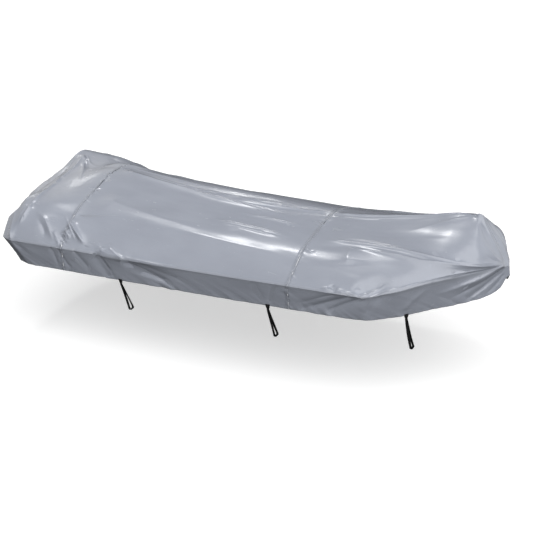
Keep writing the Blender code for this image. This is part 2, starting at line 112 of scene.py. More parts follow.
# A fold: its half width, its rise (a trough where that is negative), how blunt its crest is (2 is
# round, 1 is a crease), how much of its length fades in and out, and then the places that its
# crest passes, as pairs of at and girth. The first part of the table repeats the source's folds,
# and the second has the smaller creases, which only the looks have.
FOLDS = [Fold(np.reshape(row[5:], (-1, 2)), *row[:5]) for row in rows_of("""
# folds of the stern
.07 .015 1 .1 .25  -1.93 1.45  -1.88 .2  -1.875 -1.1  -1.9 -2.1
.05 -.012 2 .2 .2  -2.07 1.6  -2.03 -.2  -2.07 -2
.036 .01 1.3 .08 .7  -1.96 1.5  -1.82 .6  -1.62 -.7
.035 .01 1.3 .2 .5  -1.87 -2.1  -1.92 -2.75  -1.96 -3.5
.03 .012 1.3 .2 .2  -2.1 -2.3  -2.06 -3.2  -1.99 -4.05
.06 .007 1.8 .4 .4  -1.78 -2.6  -1.55 -2.9  -1.4 -3.75
.08 -.005 2 .5 .5  -1.66 -3.6  -1.56 -3.2  -1.5 -2.6
.05 .012 1.5 .3 .5  -1.88 2.2  -1.78 2.9  -1.8 3.7
.06 .012 1.8 .4 .4  -1.64 2.3  -1.5 2.9  -1.42 3.8
.06 .014 1.8 .4 .2  -2.2 .6  -2.32 .8  -2.46 .7
.06 .014 1.8 .4 .2  -2.18 -.9  -2.32 -.6  -2.46 -.8
.11 -.04 2 .35 .35  -2.15 -1  -2.2 -1.7  -2.24 -2.7
.09 .028 2 .4 .5  -1.62 .58  -1.31 .6  -.8 .56
# folds of the middle
.11 .014 2 .15 .4  -1.24 -1.32  -.5 -1.85  .52 -2.15
.04 .006 1.5 .2 .3  -1.26 .05  -.4 -.48  .5 -.6
.035 .006 1.5 .3 .3  -.6 -.22  -.1 -.3  .4 -.02
.04 .005 1.5 .4 .4  -.22 -1.34  .1 -1.44  .5 -1.5
.028 .018 1.3 .05 .4  -1.3 -2.65  -1.22 -3.05  -1.08 -3.68
.045 -.012 1.7 .3 0  -1.04 -3.9  -.96 -4.35  -.9 -4.95
.05 -.013 1.7 .25 .2  -.78 -4  -.6 -4.38  -.34 -4.9
.034 .017 1.4 .2 .75  -.96 -3.5  -.8 -3.92  -.15 -3.98
.1 .012 2 .2 .4  -1.2 1.4  -.5 1.75  .45 1.95
.05 -.012 1.7 .3 .1  -.95 3.9  -.8 4.3  -.6 4.9
.05 -.012 1.7 .3 .1  .05 3.95  .18 4.4  .36 4.9
# folds of the bow
.11 .017 1.05 .3 .1  .62 -1.36  1.3 -1.62  1.97 -3.2
.022 .004 1.3 .35 .1  .84 -1.62  1.3 -1.85  1.97 -3.5
.045 .012 1.4 .1 .15  .6 -.04  1.15 -.1  1.78 -.02
.13 .014 1 .35 .35  .93 -1.55  .95 -1.95  .97 -2.5
.05 .005 1.6 .15 .6  1.74 -.15  1.5 -.45  1.18 -.85
.03 .014 1.2 .3 .1  1.7 0  1.86 -.02  2 0
.075 -.022 2 .4 .4  1.06 -3.7  1.21 -3.6  1.36 -3.2
.04 -.013 1.6 .2 .1  1.12 -3.98  .93 -4.4  .66 -4.95
.04 -.012 1.6 .25 .1  1.24 -4.02  1.05 -4.4  .9 -4.95
.028 .014 1.3 .1 .5  1.99 -3.9  1.86 -4.24  1.62 -4.55
.03 -.012 1.5 .15 .1  1.99 -4.2  1.9 -4.52  1.79 -4.95
.035 .01 1.3 .3 .45  .66 1.4  1.25 1.6  1.97 3.2
.075 -.018 2 .4 .4  1.1 3.7  1.24 3.6  1.38 3.2
.03 .013 1.3 .3 .5  1.99 3.9  1.86 4.24  1.62 4.55
.055 .007 2 .3 .3  1.78 1.2  1.83 1.9  1.87 2.6
.05 -.02 2 .3 .3  1.88 2.5  1.93 3.2  1.98 3.8
.04 -.012 1.6 .25 .1  1.2 4.02  1 4.4  .82 4.95
# stern: the sharp line along the crest, and the streaks that fan out from its ends
.015 .007 1.2 .15 .2  -1.915 1.3  -1.88 .5  -1.868 -.25  -1.866 -1.1
.015 .007 1.2 .2 .25  -1.867 -.7  -1.865 -1.3  -1.87 -1.8  -1.92 -2.2
.0123 .0085 1.3 .08 .6  -1.92 1.45  -1.81 .65  -1.675 -.2  -1.58 -.75
.0134 .0039 1.4 .1 .7  -1.93 1.5  -1.8 .95  -1.6 .5
.0123 .0073 1.3 .1 .5  -1.87 -2.05  -1.915 -2.7  -1.955 -3.35
.0134 .0053 1.3 .15 .5  -1.93 -2.1  -1.975 -2.7  -2.01 -3.3
.0115 .0063 1.2 .1 .1  -2.1 -2.45  -2.06 -3.3  -1.99 -4
.0179 .0063 1.5 .3 .3  -1.8 -2.45  -1.62 -2.7  -1.5 -3.2  -1.41 -3.75
.0179 -.0059 1.6 .3 .3  -1.74 -2.75  -1.6 -3.1  -1.52 -3.65
.0134 .0049 1.4 .2 .1  -1.45 -3.2  -1.38 -3.55  -1.34 -3.95
.0157 -.0059 1.6 .2 .3  -2 1.3  -2 .3  -1.99 -.8
.0157 .0056 1.5 .2 .3  -2.05 -1.2  -2.12 -1.7  -2.16 -2.2
.0202 .0053 1.6 .3 .4  -2.1 .9  -2.2 .2  -2.24 -.6
.0157 -.0046 1.5 .2 .5  -2.06 -.2  -2.14 0  -2.24 .1
.0224 -.0059 1.7 .1 .6  -1.98 -4.05  -1.86 -4.35  -1.72 -4.6
.0157 -.0053 1.6 .1 .2  -1.45 -4.05  -1.4 -4.35  -1.37 -4.9
.0179 -.0063 1.5 .1 .2  -1.36 -4  -1.3 -4.45  -1.22 -4.92
# middle: round the long soft fold and the thin lines on the deck
.024 .003 1.7 .15 .35  -1.2 -1.28  -.88 -1.52  -.5 -1.74  -.16 -1.86
.0246 .0042 1.7 .3 .4  -.62 -1.88  -.16 -2.05  .2 -2.18  .5 -2.2
.018 .0085 1.3 .1 .3  -1.24 .06  -.97 -.15  -.58 -.35  -.2 -.52  .35 -.6
.0115 .0046 1.3 .2 .4  -1 -.02  -.6 -.22  -.2 -.38
.016 .0075 1.3 .2 .4  -.6 -.18  -.24 -.24  .03 -.18  .24 .02
.016 .0075 1.3 .25 .2  -.3 -.4  .02 -.36  .3 -.24  .56 -.06
.0123 .0042 1.4 .1 .5  -1.22 .38  -.7 .1  -.2 -.02
.0115 .0059 1.2 .25 .4  -.24 -1.32  .12 -1.42  .44 -1.48
.0115 .0046 1.3 .3 .4  -.18 -1.42  .14 -1.52  .4 -1.58
.0134 .0035 1.5 .4 .4  -.1 -.86  .2 -.92  .52 -.96
.0115 .012 1.2 .05 .25  -1.295 -2.62  -1.2 -3.08  -1.1 -3.62
.0115 -.008 1.4 .1 .35  -1.295 -2.7  -1.23 -3.1  -1.15 -3.55
.0115 .0066 1.2 .1 .35  -1.295 -2.8  -1.25 -3.1  -1.19 -3.48
.0115 .0077 1.2 .05 .3  -1.297 -3  -1.275 -3.25  -1.262 -3.52
.0146 .008 1.3 .3 .1  -.92 -3.45  -.84 -3.75  -.76 -4.02
.0123 .0063 1.3 .1 .6  -.78 -3.86  -.6 -3.92  -.4 -3.96  -.14 -3.97
.0134 -.008 1.3 .1 .2  -.98 -4  -.92 -4.35  -.87 -4.8
.0157 -.0088 1.3 .1 .2  -.78 -4.06  -.6 -4.38  -.36 -4.84
.0246 -.0053 1.6 .1 .4  -.66 -4.04  -.4 -4.36  -.1 -4.7
.0179 .0053 1.5 .3 .1  -.7 -4.5  -.5 -4.74  -.34 -4.96
.0246 -.0035 1.7 .2 .1  .3 -4.02  .34 -4.4  .38 -4.9
.0157 -.0042 1.6 .1 .1  .5 -3.98  .46 -4.35  .44 -4.85
.0202 -.0056 1.6 .1 .2  -1.2 -3.98  -1.12 -4.35  -1.04 -4.85
# bow: the lines that run to the nose and the peak, and the spots above the skirt
.0115 .0088 1.2 .05 .6  .6 -1.84  .64 -1.88  .7 -1.93
.016 .0095 1.2 .15 .05  .66 -1.4  1.1 -1.5  1.45 -1.76  1.75 -2.2  1.96 -3.15
.0115 .007 1.2 .25 .05  .86 -1.62  1.19 -1.76  1.43 -1.97  1.7 -2.35  1.96 -3.4
.0134 .0046 1.4 .4 .1  1.2 -1.72  1.5 -2.1  1.75 -2.62  1.97 -3.6
.0157 -.003 1.5 .3 .2  .92 -1.52  1.25 -1.64  1.52 -1.88  1.8 -2.4
.0115 .0063 1.3 .05 .1  .6 -.1  .8 -.14  1.1 -.12  1.45 -.07  1.76 -.03
.0134 .0039 1.4 .2 .2  .62 -.3  .92 -.26  1.26 -.17  1.72 -.06
.0123 .0045 1.3 .2 .6  1.73 -.16  1.6 -.34  1.42 -.54  1.22 -.8
.0115 .0035 1.3 .2 .6  1.72 -.1  1.52 -.2  1.2 -.34
.014 .014 1.2 .1 .1  1.75 -.03  1.84 -.2  1.91 -.45  1.985 -1.6
.0134 -.0035 1.4 .2 .2  1.79 -.4  1.87 -.8  1.97 -2
.0115 .0035 1.3 .3 .1  1.82 -1.05  1.9 -1.5  1.98 -2.3
.0115 -.0035 1.3 .3 .1  1.86 -1.7  1.92 -2.1  1.985 -2.7
.0115 .0063 1.3 .4 .1  1.78 -2.1  1.88 -2.4  1.985 -2.9
.0179 -.0105 1.6 .3 .3  .91 -3.55  .94 -3.72  .98 -3.86
.0134 .008 1.3 .3 .3  .84 -3.8  .94 -3.82  1.04 -3.8
.0123 .0088 1.3 .25 .25  .98 -3.92  1.06 -3.86  1.14 -3.92
.0146 .0077 1.4 .2 .5  1.12 -3.96  1.22 -3.72  1.33 -3.3
.0115 .008 1.2 .2 .1  1.2 -3.98  1.45 -3.8  1.75 -3.5  1.97 -3.7
.0134 -.008 1.4 .1 .2  1.1 -4.02  .93 -4.4  .72 -4.86
.0134 -.008 1.4 .1 .2  1.2 -4.05  1.04 -4.4  .9 -4.86
.0179 -.0053 1.5 .1 .3  .99 -4.02  .8 -4.4  .62 -4.78
.0224 -.0046 1.6 .1 .3  1.32 -4.04  1.24 -4.4  1.2 -4.8
.012 .0115 1.2 .05 .5  1.985 -3.8  1.9 -4.08  1.76 -4.32  1.58 -4.52
.0115 -.008 1.3 .05 .4  1.98 -4.05  1.9 -4.32  1.8 -4.55  1.66 -4.8
.0115 .0073 1.2 .05 .2  1.985 -4.3  1.92 -4.55  1.85 -4.8  1.8 -4.96
.0115 -.0066 1.3 .05 .2  1.98 -4.55  1.93 -4.74  1.88 -4.94
.0134 -.0059 1.4 .1 .6  1.97 -3.6  1.82 -3.74  1.62 -3.88
.0224 .0046 1.7 .3 .2  1.6 -4.1  1.5 -4.5  1.46 -4.8
# port side, which the photograph hides
.0179 .0049 1.5 .2 .4  -1.2 1.42  -.7 1.66  -.1 1.88
.0115 .0088 1.2 .05 .3  -1.295 2.6  -1.2 3  -1.08 3.6
.0115 .0063 1.2 .05 .4  -1.295 2.95  -1.25 3.3  -1.2 3.62
.0157 .007 1.3 .3 .1  -.9 3.5  -.8 3.8  -.7 4.02
.0134 .0059 1.3 .1 .6  -.72 3.88  -.4 3.95  0 3.98
.0146 -.008 1.4 .1 .2  -.92 4.02  -.8 4.35  -.64 4.84
.0146 -.0077 1.4 .1 .2  .08 4.02  .18 4.36  .34 4.84
.0123 .0049 1.3 .3 .4  -.3 .9  .1 1  .5 1.08
.0123 .0049 1.3 .15 .4  -1.22 .8  -.7 .64  -.1 .6
.0115 .0077 1.2 .2 .4  .7 1.4  1.1 1.5  1.45 1.76  1.75 2.2  1.96 3.15
.0115 .0059 1.3 .25 .4  .82 1.78  1.19 1.94  1.5 2.3  1.96 3.4
.0123 .0056 1.3 .05 .6  1.75 .16  1.6 .34  1.42 .54  1.22 .8
.0115 .007 1.2 .2 .1  1.765 .06  1.84 .22  1.91 .5  1.985 1.7
.0115 .0059 1.3 .3 .1  1.83 1.05  1.9 1.5  1.98 2.3
.0123 .0073 1.2 .2 .3  1.18 3.98  1.45 3.8  1.75 3.5  1.97 3.7
.0157 .0073 1.4 .3 .4  1.02 3.9  1.12 3.8  1.22 3.62
.0146 -.0077 1.4 .1 .2  1.18 4.03  1 4.4  .84 4.86
.0115 .0084 1.2 .3 .5  1.985 3.8  1.9 4.08  1.76 4.32  1.58 4.52
.0115 -.0077 1.3 .05 .3  1.98 4.1  1.9 4.38  1.8 4.7
.0134 .0066 1.3 .2 .5  -1.88 2.2  -1.8 2.8  -1.82 3.6
.0179 .0059 1.5 .3 .3  -1.62 2.4  -1.5 2.9  -1.42 3.7
.0123 .0066 1.2 .1 .2  -2.1 2.3  -2.06 3.1  -2 3.9
.0224 -.0056 1.7 .1 .6  -1.9 4.05  -1.78 4.35  -1.66 4.66
.0157 .0059 1.4 .3 .2  -2.2 .66  -2.32 .84  -2.44 .76
.0157 .0059 1.4 .3 .2  -2.18 -.96  -2.32 -.64  -2.44 -.84
""")]

# The puckers beside the seams, in clusters: from girth, to girth, count, rise and reach.
CLUSTERS = {STERN_SEAM: rows_of("""
  -.1  -.75  14  .0051  .029
 -.85  -1.6  14  .0051  .033
 -1.6  -2.6   8  .0027  .026
 -2.6 -3.75  22  .0095  .037
 -3.8 -4.95  10  .0051  .033
   .1   2.4  16  .0034  .029
  2.5   3.9  16  .0054  .033
 3.95  4.95   8  .0044  .031
"""), BOW_SEAM: rows_of("""
   .1   -.8  12  .0041  .029
  -.8  -2.6  14   .002  .024
 -2.6    -4  16  .0037  .029
   -4 -4.95  12  .0051  .033
   .2   2.6  14  .0027  .026
  2.6  4.95  18  .0044  .031
""")}

PUCKER_SEED = 41
# Low waves over the cloth: how many, their lengths across and along, height and seed. The ripple
# of the hem is the same with across and along changed over, and fades above the hem.
WAVES = ((22, .085, .60, .0003, 5), (16, .22, .50, .0009, 9))
HEM_RIPPLE, RIPPLE_REACH = (14, .11, .9, .0030, 13), .05

# The lap of a seam: distance ahead of the joint and height above the cloth. The after panel lies on
# top and ends in a folded edge. The panel ahead of it dips under that edge.
LAP = ((-.024, 0), (-.0175, .0014), (-.015, .002), (-.0125, .0014), (-.0095, .0021),
       (-.0065, .0015), (-.004, .0024), (-.002, .0026), (-.0008, .002), (-.00015, .001))
DIP = ((.00015, -.0026), (.0015, -.0024), (.004, -.0016), (.008, -.0005), (.013, 0))
LAP_STITCHES = (-.0125, -.0065)
STITCH_PITCH, STITCH_LENGTH, THREAD_RADIUS = .0058, .0046, .00042
HEM_STITCH_PITCH = 1.15 * STITCH_PITCH
LAP_LAYERS = ((-.02, 1.0), (-.012, 2.6), (0, 3.6), (.01, 2.2), (.018, 1.0))
# The turned hem: distance from the edge and height above the cloth.
TURN = ((0, -.0006), (.0012, .0004), (.003, .0008), (.014, .0007), (.0165, 0),
        (.019, .0005), (.0225, 0))
HEM_STITCHES = .0165
HEM_LAYERS = ((0, 1.6), (.018, 1.9), (.023, 1.0))
HEM_STEPS = (0, .0012, .003, .006, .01, .014, .0165, .019, .0225, .027)

# Grid of the cloth. It is fine enough for the creases of the starboard side. What lies inside and
# on the port side is thinned out until a panel has as many triangles as this.
SKIRT_COLUMNS, SIDE_COLUMNS, DECK_COLUMNS = 26, 86, 126
ROW_STEP = {"stern": .0064, "middle": .0084, "bow": .0074}
FINE_STEP, ROW_GROWTH = .0011, 1.22
PANEL_TRIANGLES = 190_000
PORT_SHARE = .35
TURN_GIRTH = .9                # to port of this the cloth may be thinned out
NOSE_ROWS = (2.008, 2.014, NOSE)
SHARP_EDGE, WEBBING_SHARP = math.radians(50), math.radians(60)
FAINT = 5.5                    # a fold is left out where it has sunk to exp(-FAINT)

# Camera: it stands off the beam, a little towards the bow and above.
CAMERA_TURN, CAMERA_TILT = math.radians(25), math.radians(21)
CAMERA_AIM = (0.0416, -0.0478, -0.5361)
CAMERA_DISTANCE = 13.0
CAMERA_LENS, CAMERA_SENSOR = 112.57, 36.0
FLOOR_Z, FLOOR_SIZE = -1.13, 90.0

WORLD_COLOUR, WORLD_STRENGTH = (.97, .985, 1.0, 1.0), .06
# Distant soft lights: direction, spread in degrees and strength.
SUNS = {
    "key_light": ((0.43, -0.545, 0.72), 95, 3.75),
    "fill_light": ((0.94, -0.25, 0.20), 60, .42),
    "port_light": ((0.45, 0.85, 0.27), 60, .55),
    "stern_light": ((-0.80, 0.45, 0.25), 60, .50),
}
# Long narrow lights, which show as thin lines along the folds: both ends, width and power.
STRIPS = {
    "strip_light": ((-22.7, 19.6, 52.0), (-18.5, 12.3, 55.7), 3.9, 4310),
    "crest_light": ((-41.3, 40.7, 15.4), (-38.5, 42.0, 18.7), 3.4, 260),
    "rim_light": ((-24.5, 50.8, 20.5), (-20.0, 50.8, 25.0), 2.2, 620),
}


def hermite(knots, values, tangents, places):
    """Read a cubic curve, given by its values and tangents at the knots, at other places."""
    gaps = np.diff(knots)
    k = np.clip(np.searchsorted(knots, places) - 1, 0, len(gaps) - 1)
    gap = gaps[k][:, None]
    t = ((places - knots[k]) / gaps[k])[:, None]
    return (values[k] * (1 + 2 * t) * (1 - t) ** 2 + tangents[k] * gap * t * (1 - t) ** 2
            + values[k + 1] * t * t * (3 - 2 * t) + tangents[k + 1] * gap * t * t * (t - 1))


def tangents_from(slopes, inner):
    """Tangents at all the knots, from the slopes between them and those at the inner ones."""
    return np.concatenate([slopes[:1], inner, slopes[-1:]])


def monotone_tangents(knots, values):
    """Tangents that never overshoot the values, for the lines that run along the boat."""
    gaps = np.diff(knots)[:, None]
    slopes = np.diff(values, axis=0) / gaps
    before, after = slopes[:-1], slopes[1:]
    weight_a = 2 * gaps[1:] + gaps[:-1]
    weight_b = gaps[1:] + 2 * gaps[:-1]
    same_way = before * after > 0
    mean = (weight_a + weight_b) / (weight_a / np.where(same_way, before, 1.0)
                                    + weight_b / np.where(same_way, after, 1.0))
    return tangents_from(slopes, np.where(same_way, mean, 0.0))


def smooth_tangents(knots, values):
    """Tangents of a smooth arch, for the line that runs over the boat."""
    gaps = np.diff(knots)[:, None]
    slopes = np.diff(values, axis=0) / gaps
    return tangents_from(slopes, (slopes[:-1] * gaps[1:] + slopes[1:] * gaps[:-1])
                         / (gaps[:-1] + gaps[1:]))


def unit(vectors):
    return vectors / np.maximum(np.linalg.norm(vectors, axis=-1, keepdims=True), 1e-9)


def between(low, high, fullness):
    """The middle of two points, pushed out square to the line that joins them."""
    run = high - low
    return (low + high) / 2 + fullness * unit(np.array([0.0, run[2], -run[1]]))


def section_curve(section, girths):
    """Points of one cross section at the given girths."""
    crown = np.array([section.crown_x, 0.0, section.crown_z])
    tube, edge, hem = np.reshape(section[3:12], (3, 3))
    port = [edge, between(edge, tube, section.side), tube, between(tube, crown, section.deck)]
    starboard = np.array([1.0, -1.0, 1.0])
    arch = np.array([p * starboard for p in port] + [crown] + port[::-1])
    chords = np.linalg.norm(np.diff(arch, axis=0), axis=1)
    knots = np.concatenate([[0.0], np.cumsum(np.maximum(chords, 1e-6))])
    inner = np.interp(np.clip(girths, -EDGE, EDGE), np.arange(-EDGE, EDGE + 1), knots)
    points = hermite(knots, arch, smooth_tangents(knots, arch), inner)
    skirt = np.clip(np.abs(girths) - EDGE, 0.0, 1.0)[:, None]
    points = points + skirt * (hem - edge) * np.where(girths < 0, starboard[:, None], 1.0).T
    height = (points[:, 2] - section.edge_z) / max(section.tube_z - section.edge_z, 0.05)
    points[:, 0] += section.skew * points[:, 1] * np.clip(height, 0.0, 1.0)
    points[:, 2] -= section.drop * np.sin(np.pi * np.clip(girths, 0.0, EDGE) / EDGE) ** 2
    return points


def sections_at(ats):
    table = np.array(SECTIONS)
    rows = hermite(table[:, 0], table, monotone_tangents(table[:, 0], table), np.asarray(ats))
    return [Section(*row) for row in rows]


def smooth_cover(ats, girths):
    """The unfolded shape of the cloth's outer face, as a grid of points."""
    return np.array([section_curve(section, np.asarray(girths)) for section in sections_at(ats)])


def crest_line(places, steps=28):
    """Points along a fold's crest: a smooth bend through its places."""
    places = np.array(places)
    tangents = np.gradient(places, axis=0, edge_order=2)
    knots = np.arange(float(len(places)))
    ats, girths = hermite(knots, places, tangents, np.linspace(0.0, knots[-1], steps)).T
    return np.array([section_curve(section, np.array([girth]))[0]
                     for section, girth in zip(sections_at(ats), girths)])


def ease(amount):
    amount = np.clip(amount, 0.0, 1.0)
    return amount * amount * (3 - 2 * amount)


def add_fold(lift, points, fold):
    """Add to lift how far a fold raises each of the points near it."""
    path = crest_line(fold.places)
    reach = fold.width * FAINT ** (1 / fold.blunt)
    near = np.flatnonzero(((points > path.min(axis=0) - reach)
                           & (points < path.max(axis=0) + reach)).all(axis=1))
    if len(near) == 0:
        return
    close = points[near]
    nearest = np.full(len(close), np.inf)
    along = np.zeros(len(close))
    for index, (start, end) in enumerate(zip(path[:-1], path[1:])):
        run = end - start
        t = np.clip((close - start) @ run / max(run @ run, 1e-12), 0.0, 1.0)
        distance = np.linalg.norm(close - start - t[:, None] * run, axis=1)
        closer = distance < nearest
        nearest[closer] = distance[closer]
        along[closer] = (index + t[closer]) / (len(path) - 1)
    fade = ease(along / max(fold.fade_in, 1e-6)) * ease((1 - along) / max(fold.fade_out, 1e-6))
    lift[near] += fold.rise * fade * np.exp(-(nearest / fold.width) ** fold.blunt)


def outward_normals(points):
    """Unit normals of the grid, pointing away from the boat."""
    return unit(np.cross(np.gradient(points, axis=0), np.gradient(points, axis=1)))


def run_lengths(path):
    """Distance along a path to each of its points."""
    return np.concatenate([[0.0], np.cumsum(np.linalg.norm(np.diff(path, axis=0), axis=1))])


def arc_lengths(points, axis):
    """Distance along the rows or the columns of a grid, from its first one."""
    steps = np.linalg.norm(np.diff(points, axis=axis), axis=2)
    return np.concatenate([np.zeros_like(steps.take([0], axis=axis)), np.cumsum(steps, axis=axis)],
                          axis=axis)


def profile(table, distance):
    """Read a table of distance and height. Beyond its ends it is zero."""
    places, heights = zip(*table)
    return np.interp(distance, places, heights, left=0.0, right=0.0)


def graded(start, end, fine, coarse):
    """Places from start to end, close together at both ends and further apart between."""
    steps = [fine]
    while steps[-1] * ROW_GROWTH < coarse:
        steps.append(steps[-1] * ROW_GROWTH)
    ramp = np.concatenate([[0.0], np.cumsum(steps)])
    middle = np.linspace(start + ramp[-1], end - ramp[-1],
                         int(round((end - start - 2 * ramp[-1]) / coarse)) + 1)
    return np.concatenate([start + ramp[:-1], middle, (end - ramp[:-1])[::-1]])


def station_rows():
    """Where the rows of each panel's grid lie."""
    stern = graded(SECTIONS[0].at, STERN_SEAM - GAP / 2, FINE_STEP, ROW_STEP["stern"])
    middle = graded(STERN_SEAM + GAP / 2, BOW_SEAM - GAP / 2, FINE_STEP, ROW_STEP["middle"])
    bow = graded(BOW_SEAM + GAP / 2, 2 * NOSE - BOW_SEAM, FINE_STEP, ROW_STEP["bow"])
    bow = bow[bow < NOSE_ROWS[0] - ROW_STEP["bow"] / 2]
    return {"stern": stern, "middle": middle, "bow": np.array([*bow, *NOSE_ROWS])}


def girth_columns():
    """Where the columns of the grid lie, with some close together along the hem."""
    skirt_length = math.hypot(SECTIONS[6].edge_z, SECTIONS[6].edge_y - SECTIONS[6].hem_y)
    turned = HEM - np.array(HEM_STEPS) / skirt_length
    skirt = np.linspace(turned[-1], EDGE, SKIRT_COLUMNS + 1)[1:-1]
    side = np.linspace(EDGE, TUBE, SIDE_COLUMNS + 1)[:-1]
    deck = np.linspace(TUBE, 0.0, DECK_COLUMNS + 1)
    half = np.concatenate([turned, skirt, side, deck])
    return np.concatenate([-half, half[-2::-1]])


def seam_puckers(ats, girths, across):
    """How far the small puckers beside the seams lift the cloth."""
    rng = np.random.default_rng(PUCKER_SEED)
    lift = np.zeros_like(across)
    clusters = [(seam, *row) for seam, rows in CLUSTERS.items() for row in rows]
    for seam, girth_a, girth_b, count, most_rise, most_reach in clusters:
        distance = (ats - seam)[:, None]
        rows = np.abs(distance[:, 0]) < 4 * most_reach
        row = int(np.argmin(np.abs(distance[:, 0])))
        for girth in rng.uniform(*sorted((girth_a, girth_b)), int(count)):
            centre = np.interp(girth, girths, across[row])
            slant, width = rng.uniform(-.9, .9), rng.uniform(.0090, .0135)
            rise = most_rise * rng.uniform(.45, 1.0) * rng.choice([-1.0, 1.0, 1.0])
            reach = most_reach * rng.uniform(.5, 1.2)
            aft = rng.uniform(.2, 1.0)
            share = np.where(distance[rows] < 0, aft, 1.2 - aft)
            fade = share * np.exp(-(np.abs(distance[rows]) / reach) ** 1.5)
            offset = (across[rows] - centre - slant * distance[rows]) / width
            lift[rows] += rise * fade * np.exp(-offset ** 2)
    return lift


def faint_waves(across, along, count, wave_across, wave_along, height, seed):
    """Low waves over the whole cloth, longer along the boat than across it."""
    rng = np.random.default_rng(seed)
    lift = np.zeros_like(across)
    for _ in range(count):
        turn_across = 2 * math.pi / (wave_across * rng.uniform(.6, 1.8))
        turn_along = 2 * math.pi / (wave_along * rng.uniform(.6, 1.8)) * rng.choice([-1.0, 1.0])
        swell = np.sin(across * rng.uniform(2, 5) + along * rng.uniform(2, 5) + rng.uniform(0, 6.3))
        wave = np.sin(turn_across * across + turn_along * along + rng.uniform(0, 6.3))
        lift += height / math.sqrt(count) * wave * (.55 + .45 * swell)
    return lift


class Cloth:
    """The whole cloth as one fine grid, with what its pieces need to know about each point."""

    def __init__(self):
        self.rows = station_rows()
        self.ats = np.concatenate(list(self.rows.values()))
        self.girths = girth_columns()
        flat = smooth_cover(self.ats, self.girths)
        normals = outward_normals(flat)
        points = flat.reshape(-1, 3)
        across_from_starboard = arc_lengths(flat, 1)
        self.crown = int(np.argmin(np.abs(self.girths)))
        self.across = across_from_starboard - across_from_starboard[:, [self.crown]]
        self.along = arc_lengths(flat, 0)
        width = across_from_starboard[:, [-1]]
        self.from_hem = np.minimum(np.minimum(across_from_starboard, width - across_from_starboard),
                                   self.along)

        lift = np.zeros(len(points))
        for fold in FOLDS:
            add_fold(lift, points, fold)
        lift = lift.reshape(flat.shape[:2])
        lift += seam_puckers(self.ats, self.girths, self.across)
        for waves in WAVES:
            lift += faint_waves(self.across, self.along, *waves)
        ripple = faint_waves(self.along, self.across, *HEM_RIPPLE)
        lift += ripple * np.exp(-self.from_hem / RIPPLE_REACH)
        lift *= ease((NOSE - self.ats) / NOSE_FADE)[:, None]
        self.seam_distance = np.full(len(self.ats), 1.0)
        for seam in (STERN_SEAM, BOW_SEAM):
            distance = self.ats - seam
            closer = np.abs(distance) < np.abs(self.seam_distance)
            self.seam_distance[closer] = distance[closer]
        lift += profile(LAP + DIP, self.seam_distance)[:, None]
        lift += profile(TURN, self.from_hem)
        self.outer = flat + lift[..., None] * normals
        self.outer[-1, :, 1] = 0.0
        self.outer[..., 2] += HEM_Z

        layers = np.maximum(profile(LAP_LAYERS, self.seam_distance)[:, None],
                            profile(HEM_LAYERS, self.from_hem)).clip(1.0)
        layers[-len(NOSE_ROWS) - 1:] = 1.0
        self.normals = np.zeros_like(self.outer)
        for rows in self.spans().values():
            self.normals[rows] = outward_normals(self.outer[rows])
        inward = self.normals.copy()
        for seam in (STERN_SEAM, BOW_SEAM):
            inward[np.abs(self.ats - seam) < GAP, :, 0] = 0.0
        tilt = STEM_TILT * np.clip(1 - np.abs(self.girths) / EDGE, 0.0, 1.0)
        inward[-1] = np.stack([np.cos(tilt), np.zeros_like(tilt), np.sin(tilt)], axis=1)
        self.inner = self.outer - CLOTH * layers[..., None] * unit(inward)
        # Painted shade mixed with real dirt and wear: this mask darkens the cloth along the hem,
        # beside each seam and in a band round the edge line. It stands partly for dirt and rubbing,
        # and partly for the shade under the turned hem, at the seam laps and below the edge.
        self.wear_and_shade = np.clip(np.exp(-self.from_hem / .010)
                            + np.exp(-np.abs(self.seam_distance) / .007)[:, None]
                            + .8 * np.exp(-((np.abs(self.girths) - EDGE) / .10) ** 2), 0.0, 1.0)

    def spans(self):
        """Which rows of the grid belong to each panel."""
        ends = np.cumsum([len(rows) for rows in self.rows.values()])
        starts = [0, *ends[:-1]]
        return {name: slice(start, end) for name, start, end in zip(self.rows, starts, ends)}

    def read(self, grid, at, girth):
        """Read a grid's values at one place by straight interpolation."""
        i = int(np.clip(np.searchsorted(self.ats, at) - 1, 0, len(self.ats) - 2))
        j = int(np.clip(np.searchsorted(self.girths, girth) - 1, 0, len(self.girths) - 2))
        u = (at - self.ats[i]) / (self.ats[i + 1] - self.ats[i])
        v = (girth - self.girths[j]) / (self.girths[j + 1] - self.girths[j])
        return ((1 - u) * (1 - v) * grid[i, j] + u * (1 - v) * grid[i + 1, j]
                + (1 - u) * v * grid[i, j + 1] + u * v * grid[i + 1, j + 1])


def new_mesh(name, points, faces):
    data = bpy.data.meshes.new(name)
    data.from_pydata(points.tolist(), [], faces)
    data.validate()
    return data


def give_attribute(data, name, values):
    """Keep a number or a vector for each point, which the material reads."""
    kind, key = ("FLOAT", "value") if values.ndim == 1 else ("FLOAT_VECTOR", "vector")
    layer = data.attributes.new(name, kind, "POINT")
    layer.data.foreach_set(key, values.astype(np.float32).ravel())


def new_object(name, data):
    obj = bpy.data.objects.new(name, data)
    bpy.context.scene.collection.objects.link(obj)
    return obj


def add_piece(name, data, mat, replaces=(), smooth_angle=SHARP_EDGE):
    data.materials.append(mat)
    data.shade_smooth()
    data.set_sharp_from_angle(angle=smooth_angle)
    obj = new_object(name, data)
    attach(obj, "root")
    if replaces:
        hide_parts(*replaces)
    return obj


